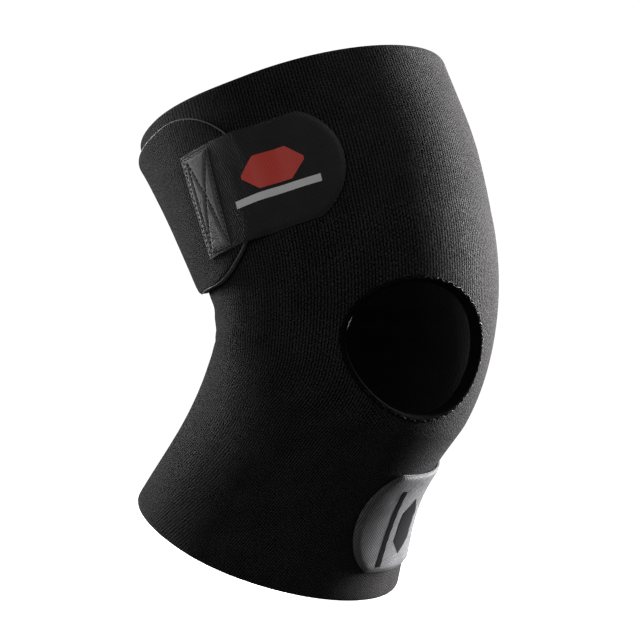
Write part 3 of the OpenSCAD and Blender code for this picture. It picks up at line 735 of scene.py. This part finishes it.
# --- Strips: wings and tabs -----------------------------------------------------------------
def strip(length, low, high, cap, step, free_root=False):
    """Flat strip from x = 0 with a rounded end: places (x, s), faces and distance to the cut edge.
    low and high give its edges at x. cap is the end's depth and its outline as a list of
    (share of depth, share of half-height)."""
    depth = cap[0]
    plain = length - depth
    xs = np.concatenate([EDGE_STEPS[:-1], np.linspace(EDGE_STEPS[-1], plain, max(int(plain / step), 2))])
    middle = (low(xs) + high(xs)) / 2
    end_low, end_high = low(plain), high(plain)
    end_mid, end_half = (end_low + end_high) / 2, (end_high - end_low) / 2
    arc = [(plain + depth * a, end_mid + end_half * b) for a, b in cap[1]]
    outline = np.array([*zip(xs, low(xs)), *arc, *zip(xs[::-1], high(xs[::-1]))])
    tangent = unit(np.gradient(outline, axis=0))
    normal = np.stack([-tangent[:, 1], tangent[:, 0]], -1)
    half = max(end_half, 1)
    core_x = np.minimum(outline[:, 0], length - min(half, plain))
    core = np.stack([core_x, np.interp(core_x, xs, middle)], -1)
    rings, distance = [], list(EDGE_STEPS)
    for d in EDGE_STEPS:
        ring = outline + normal * d
        ring[0, 0] = ring[-1, 0] = 0
        ring[:, 0] = np.maximum(ring[:, 0], 0)
        rings.append(ring)
    inner = max(int(half / step), 4)
    for k in range(1, inner + 1):
        rings.append(mix(rings[len(EDGE_STEPS) - 1], core, k / inner))
        distance.append(EDGE_STEPS[-1] + half * k / inner)
    n = len(outline)
    every = np.vstack(rings)
    spread = np.repeat(distance, n)
    if free_root:
        spread = np.minimum(spread, every[:, 0])
    keys = {}
    index = [keys.setdefault((round(x, 3), round(y, 3)), len(keys)) for x, y in every]
    flat = np.zeros((len(keys), 2))
    edge = np.zeros(len(keys))
    for i, k in enumerate(index):
        flat[k], edge[k] = every[i], spread[i]
    faces = []
    for r in range(len(rings) - 1):
        for i in range(n - 1):
            here, beyond = r * n + i, (r + 1) * n + i
            corners = [index[here], index[here + 1], index[beyond + 1], index[beyond]]
            face = tuple(c for k, c in enumerate(corners) if c != corners[k - 1])
            if len(set(face)) >= 3 and len(set(face)) == len(face):
                faces.append(face)
    return flat, faces, edge


def circle_cap(half, depth, count):
    """Outline of a round end of that depth, from its low corner to its high corner."""
    radius = (half * half + depth * depth) / (2 * depth)
    start = math.pi / 2 if depth >= half else math.asin(min(half / radius, 1))
    angles = np.linspace(-start, start, count + 2)[1:-1]
    return depth, [
        ((radius * math.cos(a) - (radius - depth)) / depth, radius * math.sin(a) / half) for a in angles
    ]


class Wing:
    """One wing of the wrap with its hook tab. way is 1 if u grows towards the tip and -1 if it falls.
    root, tip, tab_root and tab_end are angles, and s and tab_s the middle heights of wing and tab."""

    def __init__(self, name, parent, way, root, tip, s, half, tab_root, tab_end, tab_s):
        self.name, self.parent, self.way = name, parent, way
        self.root, self.tip, self.s, self.half = root, tip, s, half
        self.tab_root, self.tab_end, self.tab_s = tab_root, tab_end, tab_s
        self.degree = degree_at(s)

    def u(self, x, start=None):
        return (self.root if start is None else start) + self.way * x / self.degree

    def places(self, flat, start=None):
        return np.stack([self.u(flat[:, 0], start), flat[:, 1]], -1)

    def flap_height(self, u, s):
        """Height of the tab cloth's underside: over the wing, then down past its round tip."""
        x = self.way * (u - self.tab_root) * self.degree
        aside = np.minimum(abs(s - self.s), self.half)
        tip_x = self.way * (self.tip - self.tab_root) * self.degree
        tip_x = tip_x - self.half + np.sqrt(self.half ** 2 - aside ** 2)
        return mix(OVER_WING, OVER_SLEEVE, ease((x - np.maximum(tip_x, BOX_W) - 1) / STEP_DOWN))

    def at(self, u, s, off):
        return Vector(skin(u, s, off) * MM)


UPPER = Wing(
    "upper", "thigh", way=-1, root=INNER_END[1] + 359.8, tip=76, s=59.5, half=43,
    tab_root=102, tab_end=44, tab_s=56.5,
)
LOWER = Wing(
    "lower", "calf", way=1, root=OUTER_END[0] + 0.2, tip=288, s=-77, half=31,
    tab_root=263, tab_end=379, tab_s=-78.5,
)
# Towards its root a wing widens as far as the knee: the angle and the run of that on each wing
UPPER_WIDENS, LOWER_WIDENS = (125, 40), (225, 30)


def wing_edges(w):
    """Functions that give the wing's low and high edge at x."""
    def low(x):
        plain = w.s - w.half
        if w.way > 0:
            return plain + 0 * x
        return mix(plain, KNEE_TOP[1], ease((w.u(x) - UPPER_WIDENS[0]) / UPPER_WIDENS[1]))

    def high(x):
        plain = w.s + w.half
        if w.way < 0:
            return plain + 0 * x
        return mix(plain, KNEE_BOTTOM[1], 1 - ease((w.u(x) - LOWER_WIDENS[0]) / LOWER_WIDENS[1]))

    return low, high


# Height of the thread that paints a glint, under the top of a cut edge, and a run of a wing near its root
GLINT_DROP, GLINT_RADIUS = 0.75, 0.3
ROOT_RUN = (1.0, 16.0)
# How far a wing's free edge stands off, and how far in from the edge that reaches
CURL, CURL_RUN = 0.4, 7


def build_wing(w):
    """The wing's three layers, with a lighter core that paints a highlight on its cut edge, and a light
    thread that paints a glint along that edge.
    """
    length = abs(w.tip - w.root) * w.degree
    flat, faces, edge = strip(length, *wing_edges(w), circle_cap(w.half, w.half, 40), 3.0)
    places = w.places(flat)
    # Away from the tab that holds it down, the edge stands off a little
    held = np.clip((np.abs(flat[:, 1] - w.tab_s) - TAB_H / 2) / 6, 0, 1)
    far = ease(flat[:, 0] / 40)
    curl = CURL * held * far * np.exp(-((edge / CURL_RUN) ** 2)) * (0.6 + 0.4 * np.sin(flat[:, 0] / 13))
    made = laminate(
        w.name + "_wing", places, faces, CLEAR + SHEET_T + curl, edge, flat * MM, (w.name + "_wing",),
        PAINTED_HIGHLIGHT_WING_CORE,
    )
    # A light thread along the top of the cut edge: a painted glint
    rim, level = flat[edge == 0], (CLEAR + SHEET_T + curl)[edge == 0] - GLINT_DROP
    path = skin(w.u(rim[:, 0]), rim[:, 1], level)
    fibres = threads(w.name + "_wing_cut_fibres", [path], GLINT_RADIUS, EDGE_GLINT_THREAD)
    start, end = (w.at(w.u(x), w.s, RISE) for x in ROOT_RUN)
    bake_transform(fibres)
    for layer in made:
        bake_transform(layer)


def box_lines(w):
    """The stitched box with its cross, as lines of places (x, s) on the tab."""
    low, high = w.tab_s - TAB_H / 2 + 2.4, w.tab_s + TAB_H / 2 - 2.4
    left, inner, right = 1.8, 4.2, BOX_W - 1.5
    middle = (low + high) / 2
    bow = 1.0
    return [
        [(left, low), (left - 0.2, middle), (left, high)],
        [(inner, low + 1.5), (inner + 0.3, middle), (inner, high - 1.5)],
        [(right, low), (right + 0.3, middle), (right, high)],
        [(left, low), (right, low)],
        [(left, high), (right, high)],
        [(inner, low + 1.5), ((inner + right) / 2 - bow, middle), (right, high - 1)],
        [(inner, high - 1.5), ((inner + right) / 2 + bow, middle), (right, low + 1)],
    ]


def distance_to_lines(flat, lines):
    """Distance of each flat place to the nearest of the lines."""
    best = np.full(len(flat), 1e9)
    for line in lines:
        for a, b in zip(line, line[1:]):
            a, b = np.array(a, float), np.array(b, float)
            t = np.clip(((flat - a) @ (b - a)) / ((b - a) @ (b - a)), 0, 1)
            best = np.minimum(best, np.hypot(*(flat - a - t[:, None] * (b - a)).T))
    return best


def tab_edges(w):
    """Functions that give the tab's low and high edge at x."""
    return (lambda x: w.tab_s - TAB_H / 2 + 0 * x), (lambda x: w.tab_s + TAB_H / 2 + 0 * x)


def tab_top(w, lines, x, s):
    """Height of the tab cloth's upper face: pressed down along each line of stitches."""
    press = 0.3 * np.exp(-((distance_to_lines(np.stack([x, s], -1), lines) / 0.9) ** 2))
    return w.flap_height(w.u(x, w.tab_root), s) + TAB_T - press


def tab_ripple(x, s):
    """Soft ripples of the tab cloth where it comes down from the wing."""
    return 0.25 * np.sin(x / 4.1 + s / 17) * ease((x - 24) / 8) * (1 - ease((x - 46) / 12))


# Past the wing the tab's cut edge droops by DROOP, over DROOP_RUN in from the edge
DROOP, DROOP_RUN = 0.8, 2.4
# A run along the tab of FOLD_RUN, starting beside the sewn box
FOLD_RUN = 8.0
# The sewn box's cloth: where it starts and ends along the tab, how far its long sides are inside the
# tab's, its swelling between stitches, its least thickness and how far it is sunk into the tab
PAD_X, PAD_INSET = (1.0, BOX_W - 0.7), 1.6
SWELL, SWELL_RUN, PAD_RIM, PAD_T, PAD_SINK = 0.5, 0.9, 1.2, 0.12, 0.15
BOX_PITCH, BOX_STITCH_LIFT, BOX_THREAD_RADIUS = 2.4, 0.14, 0.2


def build_tab(w, cloth, marks):
    """The tab's cloth, its sewn box and stitches, its hook strip and its marks."""
    tab = w.name + "_tab"
    length = abs(w.tab_end - w.tab_root) * w.degree
    lines = box_lines(w)
    cap = circle_cap(TAB_H / 2, TAB_ROUND, 34)
    flat, faces, edge = strip(length, *tab_edges(w), cap, 1.6, free_root=True)
    places = w.places(flat, w.tab_root)
    under = w.flap_height(*places.T)
    ripple = tab_ripple(*flat.T)
    half = TAB_T / 2 * softened(edge, 0.7)
    past_wing = (OVER_WING - under) / (OVER_WING - OVER_SLEEVE)
    droop = DROOP * past_wing * (1 - ease(edge / DROOP_RUN))
    top = tab_top(w, lines, *flat.T) - TAB_T / 2 + ripple + half - droop
    bottom = under + TAB_T / 2 + ripple * 0.5 - half - droop
    made = closed(tab + "_cloth", places, faces, top, bottom, flat * MM, [cloth, CUT_EDGE])
    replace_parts(made, tab + "_sewn_end", tab + "_flap")
    fold = (BOX_W, BOX_W + FOLD_RUN)
    start, end = (w.at(w.u(x, w.tab_root), w.tab_s, OVER_WING) for x in fold)
    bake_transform(made)

    # The sewn box: cloth that swells between its lines of stitches
    pad_half = TAB_H / 2 - PAD_INSET
    rows, columns = 60, 24
    xs, ss = np.linspace(*PAD_X, columns + 1), np.linspace(-pad_half, pad_half, rows + 1)
    pad = np.array([(x, w.tab_s + s) for s in ss for x in xs])
    rim = np.minimum.reduce([
        pad[:, 0] - xs[0], xs[-1] - pad[:, 0], pad[:, 1] - w.tab_s + pad_half, pad_half - pad[:, 1] + w.tab_s
    ])
    near = distance_to_lines(pad, lines)
    swell = SWELL * (1 - np.exp(-((near / SWELL_RUN) ** 2))) * ease(rim / PAD_RIM) + PAD_T
    height = OVER_WING + TAB_T
    box = closed(
        tab + "_box", w.places(pad, w.tab_root), grid_faces(rows, columns), height + swell,
        np.full(len(pad), height - PAD_SINK), pad * MM, [BOX_TWILL_AND_SHEEN, CUT_EDGE],
    )
    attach(box, w.name + "_wing")

    runs = []
    for line in lines:
        path = [(w.u(x, w.tab_root), s) for x, s in line]
        runs += stitch_path(path, height + BOX_STITCH_LIFT, w.degree, BOX_PITCH)
    seam = threads(tab + "_stitches", runs, BOX_THREAD_RADIUS, BOX_THREAD)
    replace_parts(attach(seam, w.name + "_wing"), tab + "_stitches")

    hook, field = build_hook(w, length)
    for mark in marks:
        build_mark(w, *mark)


# The hook strip: distance inside the tab's edges, the depth of its round end, its thickness, the
# spacing of the small hooks, how far each is out of line, and how far it leans
HOOK_INSET, HOOK_ROUND, HOOK_TOP, HOOK_T = 2.5, 14, 0.02, 0.4
HOOK_PITCH, HOOK_JITTER, HOOK_LEAN, HOOK_RADIUS = 1.7, 0.12, 0.35, 0.16


def build_hook(w, length):
    """Hook strip under the free end of the tab, with its field of small hooks."""
    tab = w.name + "_tab"
    tip_x = abs(w.tip - w.tab_root) * w.degree
    start = tip_x + 1 + STEP_DOWN * 0.72
    strip_length = length - start - 2.2
    low, high = w.tab_s - TAB_H / 2 + HOOK_INSET, w.tab_s + TAB_H / 2 - HOOK_INSET
    cap = circle_cap((high - low) / 2, HOOK_ROUND, 20)
    flat, faces, _ = strip(strip_length, lambda x: low + 0 * x, lambda x: high + 0 * x, cap, 2.2)
    places = np.stack([w.u(flat[:, 0] + start, w.tab_root), flat[:, 1]], -1)
    under = w.flap_height(*places.T)
    top, bottom = under - HOOK_TOP, under - (HOOK_TOP + HOOK_T)
    hook = closed(tab + "_hook", places, faces, top, bottom, flat * MM, [HOOK])
    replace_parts(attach(hook, tab), tab + "_hook")
    random.seed(7)
    runs = []
    for i in range(int(strip_length / HOOK_PITCH)):
        for j in range(int((high - low) / HOOK_PITCH)):
            x = 1.0 + i * HOOK_PITCH + random.uniform(-HOOK_JITTER, HOOK_JITTER)
            s = low + 1.0 + j * HOOK_PITCH + random.uniform(-HOOK_JITTER, HOOK_JITTER)
            aside = (s - w.tab_s) / ((high - low) / 2 + 3)
            reach = strip_length - HOOK_ROUND + HOOK_ROUND * math.sqrt(max(1 - aside ** 2, 0))
            if x > min(reach, strip_length) - 1.2 or s > high - 0.8:
                continue
            u, lean = w.u(x + start, w.tab_root), HOOK_LEAN if (i + j) % 2 else -HOOK_LEAN
            level = w.flap_height(u, s) - 0.4
            runs.append(np.vstack([
                skin(u, s, level), skin(u, s, level - 0.4), skin(u, s + lean * 0.6, level - 0.68),
                skin(u, s + lean, level - 0.5),
            ]))
    field = threads(tab + "_hook_field", runs, HOOK_RADIUS, HOOK)
    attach(field, tab)
    return hook, field


# Height of a mark's narrow ends as a share of its middle, and its under and upper face off the tab
BLUNT, MARK_LOW, MARK_HIGH = 0.1, 0.01, 0.12


def build_mark(w, mark, u, s, half_x, half_s, taper, peak, material, slot):
    """A plain mark printed on the tab, with its middle at (u, s). taper is the share of its half-length
    that narrows towards each end, and peak is how much lower its sides are than its middle."""
    columns, rows = 40, 24
    t = np.linspace(-1, 1, columns + 1)
    ends = mix(BLUNT, 1, np.clip((1 - np.abs(t)) / taper, 0, 1)) if taper else 1
    reach = half_s * ends * (1 - peak * np.abs(t))
    flat = np.array([
        (t[j] * half_x, s + reach[j] * (2 * i / rows - 1))
        for i in range(rows + 1) for j in range(columns + 1)
    ])
    u = u + flat[:, 0] / w.degree
    x = abs(u - w.tab_root) * w.degree
    level = w.flap_height(u, flat[:, 1]) + TAB_T + tab_ripple(x, flat[:, 1])
    name = f"{w.name}_tab_{mark}"
    made = closed(
        name, np.stack([u, flat[:, 1]], -1), grid_faces(rows, columns), level + MARK_HIGH,
        level + MARK_LOW, np.stack([x, flat[:, 1]], -1) * MM, [material],
    )
    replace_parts(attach(made, w.name + "_tab"), name)


build_wing(UPPER)
build_wing(LOWER)
# Each mark: its name, u, s, half-length, half-height, taper, peak, material and slot
build_tab(UPPER, UPPER_TWILL, (
    ("patch", 68, UPPER.tab_s + 3, 14.5, 8, 0.5, 0, RED_FILM, "red_film"),
    ("bar", 68, UPPER.tab_s - 8.5, 20, 1.8, 0, 0, WHITE_FILM, "white_film"),
))
build_tab(LOWER, LOWER_TWILL_PAINTED_LIGHT, (
    ("patch", 344.5, LOWER.tab_s - 3, 8, 14.5, 0, 0.5, DARK_FILM, "dark_film"),
    ("bar", 358.5, LOWER.tab_s - 3, 1.8, 20, 0, 0, DARK_FILM, "dark_film"),
))


# --- Seams and label ------------------------------------------------------------------------
SEAM_PITCH, SEAM_REACH, SEAM_RADIUS = 2.2, 1.3, 0.25


def wing_seam(name, u, low, high, body):
    """Zigzag that joins a wing's root to its end of the wrap."""
    count = round((high - low) / SEAM_PITCH)
    runs = []
    for i in range(count):
        side = 1 if i % 2 else -1
        a, b = low + (high - low) * (i + 0.04) / count, low + (high - low) * (i + 0.96) / count
        reach = side * SEAM_REACH
        runs.append(stitch((u - reach, a), (u + reach, b), RISE, arch=0.3, dip=0.25))
    made = threads(name, runs, SEAM_RADIUS, THREAD)
    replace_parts(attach(made, body), name)


wing_seam("upper_wing_seam", INNER_END[1] + 359.9, KNEE_TOP[1] + 1.5, UPPER.s + UPPER.half - 1.5, "thigh")
wing_seam("lower_wing_seam", OUTER_END[0] + 0.1, LOWER.s - LOWER.half + 1.5, KNEE_BOTTOM[1] - 1.5, "calf")

# The label's angles, its side, millimetres to a degree, how far its top is below the hem, and how far
# it hangs off the lining
LABEL_U, LABEL_SIZE, LABEL_DEGREE, LABEL_DOWN, LABEL_BULGE = (160, 181), 28, 1.35, 12, 0.5
LABEL_NEAR, LABEL_FAR, LABEL_STEPS = 0.6, 1.0, 16
label_top = TOP - LABEL_DOWN
label_flat = np.array([
    (x, s)
    for s in np.linspace(label_top - LABEL_SIZE, label_top, LABEL_STEPS + 1)
    for x in np.linspace(*LABEL_U, LABEL_STEPS + 1)
])
across = (label_flat[:, 0] - LABEL_U[0]) / (LABEL_U[1] - LABEL_U[0])
bulge = LABEL_BULGE * np.sin(across * math.pi) * ((label_top - label_flat[:, 1]) / LABEL_SIZE)
label = closed(
    "care_label", label_flat, grid_faces(LABEL_STEPS, LABEL_STEPS), -SHEET_T - LABEL_NEAR - bulge,
    -SHEET_T - LABEL_FAR - bulge, np.stack([label_flat[:, 0] * LABEL_DEGREE, label_flat[:, 1]], -1) * MM,
    [LABEL],
)
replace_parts(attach(label, "thigh"), "care_label")


# --- Floor, light and camera ----------------------------------------------------------------
FLOOR_R = 12.0
floor_points = [
    (FLOOR_R * math.cos(a), FLOOR_R * math.sin(a), cad_low.z) for a in np.linspace(0, 2 * math.pi, 65)[:-1]
]
floor_mesh = bpy.data.meshes.new("floor")
floor_mesh.from_pydata(floor_points, [], [tuple(range(len(floor_points)))])
floor_tree = Tree(
    "floor_paint", Base_Color=(0.82, 0.82, 0.82), Roughness=0.9,
    Emission_Color=(1.0, 1.0, 1.0), Emission_Strength=1.0,
)
floor_mesh.materials.append(floor_tree.material)
floor = added("floor", floor_mesh)
floor.visible_diffuse = False
floor.visible_glossy = False

# Strength of the world: as light on the brace, and as the backdrop the camera sees
WORLD_LIGHT, WORLD_BACKDROP = 0.095, 1.05
world = bpy.data.worlds.new("studio")
bpy.context.scene.world = world
world.use_nodes = True
nodes, links = world.node_tree.nodes, world.node_tree.links
dim, bright = nodes["Background"], nodes.new("ShaderNodeBackground")
for background, strength in ((dim, WORLD_LIGHT), (bright, WORLD_BACKDROP)):
    background.inputs["Color"].default_value = (1, 1, 1, 1)
    background.inputs["Strength"].default_value = strength
choose, path = nodes.new("ShaderNodeMixShader"), nodes.new("ShaderNodeLightPath")
links.new(path.outputs["Is Camera Ray"], choose.inputs[0])
links.new(dim.outputs[0], choose.inputs[1])
links.new(bright.outputs[0], choose.inputs[2])
links.new(choose.outputs[0], nodes["World Output"].inputs[0])


def round_leg(u, distance, height):
    """A place at angle u round the leg, at a distance from its middle."""
    a = math.radians(u)
    return Vector((distance * math.cos(a), -distance * math.sin(a), height))


def look(made, place, way):
    """Puts a lamp or camera at a place, looking along way."""
    made.location = place
    made.rotation_mode = "QUATERNION"
    made.rotation_quaternion = way.to_track_quat("-Z", "Y")


def lamp(name, place, size, power):
    """Square lamp that shines on the knee, with its side in metres and its power in watts."""
    data = bpy.data.lights.new(name, "AREA")
    data.shape, data.size, data.energy = "SQUARE", size, power
    look(added(name, data), place, -place)


lamp("key", round_leg(-77, 1.5, 0.28), 0.7, 138)
lamp("fill", round_leg(180, 1.8, 0.2), 0.9, 42)
lamp("side", round_leg(88, 2.2, 0.3), 1.2, 7)
lamp("top", round_leg(-50, 1.2, 1.6), 0.8, 10)

azimuth, elevation, distance = math.radians(39.8), math.radians(-1.6), 1.5
back = Vector((
    math.sin(azimuth) * math.cos(elevation), -math.cos(azimuth) * math.cos(elevation), math.sin(elevation),
))
camera_data = bpy.data.cameras.new("camera")
camera_data.sensor_width, camera_data.lens = 36, 175.8
camera_data.shift_x, camera_data.shift_y = -0.038, -0.0034
camera = added("camera", camera_data)
look(camera, back * distance, -back)
bpy.context.scene.camera = camera
bpy.context.scene.view_settings.view_transform = "Standard"
